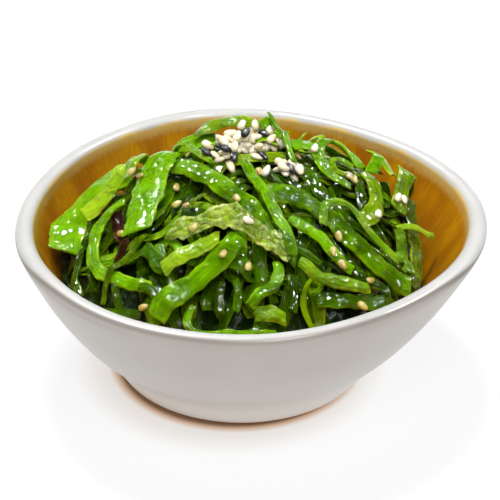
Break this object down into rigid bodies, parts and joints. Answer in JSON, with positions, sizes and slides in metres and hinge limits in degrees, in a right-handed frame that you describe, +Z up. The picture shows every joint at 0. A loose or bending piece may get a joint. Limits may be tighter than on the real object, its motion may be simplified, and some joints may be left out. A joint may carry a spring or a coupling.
{
  "type": "bowl of wakame salad",
  "caption": "Small handmade bowl, white outside and amber-brown inside, heaped with glossy green strips of wakame seaweed and topped with white and black sesame.",
  "frame": {"origin": "middle of the box around the bowl, at the height of the surface that its foot stands on", "axes": "+Z up out of the bowl, -Y towards the front of the picture, +X to its right"},
  "size_m": [0.1168, 0.1168, 0.0647],
  "materials": {
    "glazed_stoneware": "warm white gloss glaze outside, running amber to dark brown glaze inside, rounded white lip",
    "wakame_green": "wet, glossy and slightly translucent bright green seaweed",
    "wakame_dark": "wet, glossy dark green seaweed",
    "wakame_lime": "wet, translucent yellow-green seaweed",
    "wakame_olive": "wet, glossy olive green seaweed",
    "wakame_pale": "wet, ruffled pale yellow-green seaweed",
    "sesame": "satin cream and black sesame seeds"
  },
  "bodies": {
    "root": {"bowl": "glazed_stoneware", "wakame_bed": "wakame_dark", "back_left_under": "wakame_dark", "back_right_under": "wakame_dark", "back_low_band": "wakame_green", "left_dark_stem": "wakame_dark", "left_lip_strip": "wakame_dark", "front_left_leaf": "wakame_green", "dark_left_leaf": "wakame_dark", "dark_front_stem": "wakame_dark", "dark_front_blade": "wakame_dark", "dark_middle_band": "wakame_dark", "dark_middle_leaf": "wakame_dark", "dark_right_blade": "wakame_dark", "right_low_band": "wakame_dark", "right_edge_band": "wakame_olive", "right_olive_leaf": "wakame_olive", "right_back_leaf": "wakame_green", "front_loop": "wakame_green", "front_lime_leaf": "wakame_lime", "front_curve": "wakame_green", "left_end_piece": "wakame_green", "left_hook": "wakame_green", "left_lime_strip": "wakame_lime", "left_thin_stem": "wakame_olive", "left_back_leaf": "wakame_lime", "left_small_leaf": "wakame_green", "middle_curved_strip": "wakame_green", "middle_thin_arc": "wakame_olive", "right_long_band": "wakame_green", "right_under_stem": "wakame_dark", "right_middle_strip": "wakame_green", "right_dark_rod": "wakame_dark", "right_curl": "wakame_green", "right_curl_inner": "wakame_lime", "right_pale_leaf": "wakame_lime", "right_shoulder_leaf": "wakame_olive", "right_lime_tip": "wakame_lime", "right_curled_end": "wakame_green", "back_left_band": "wakame_green", "back_right_band": "wakame_green", "back_cross_strip": "wakame_lime", "back_stem": "wakame_green", "back_curl": "wakame_olive", "back_thin_strand": "wakame_lime", "back_short_leaf": "wakame_dark", "top_back_leaf": "wakame_green", "upper_band": "wakame_green", "big_leaf": "wakame_green", "front_diagonal": "wakame_green", "front_left_short": "wakame_lime", "frilly_ribbon": "wakame_pale", "centre_stem": "wakame_green", "right_front_stem": "wakame_lime", "right_small_loop": "wakame_olive", "pale_thread": "wakame_pale", "top_pointed_tip": "wakame_green", "arch_thread": "wakame_pale", "sesame_seeds_top": "sesame", "sesame_seeds_side": "sesame"}
  },
  "joints": []
}
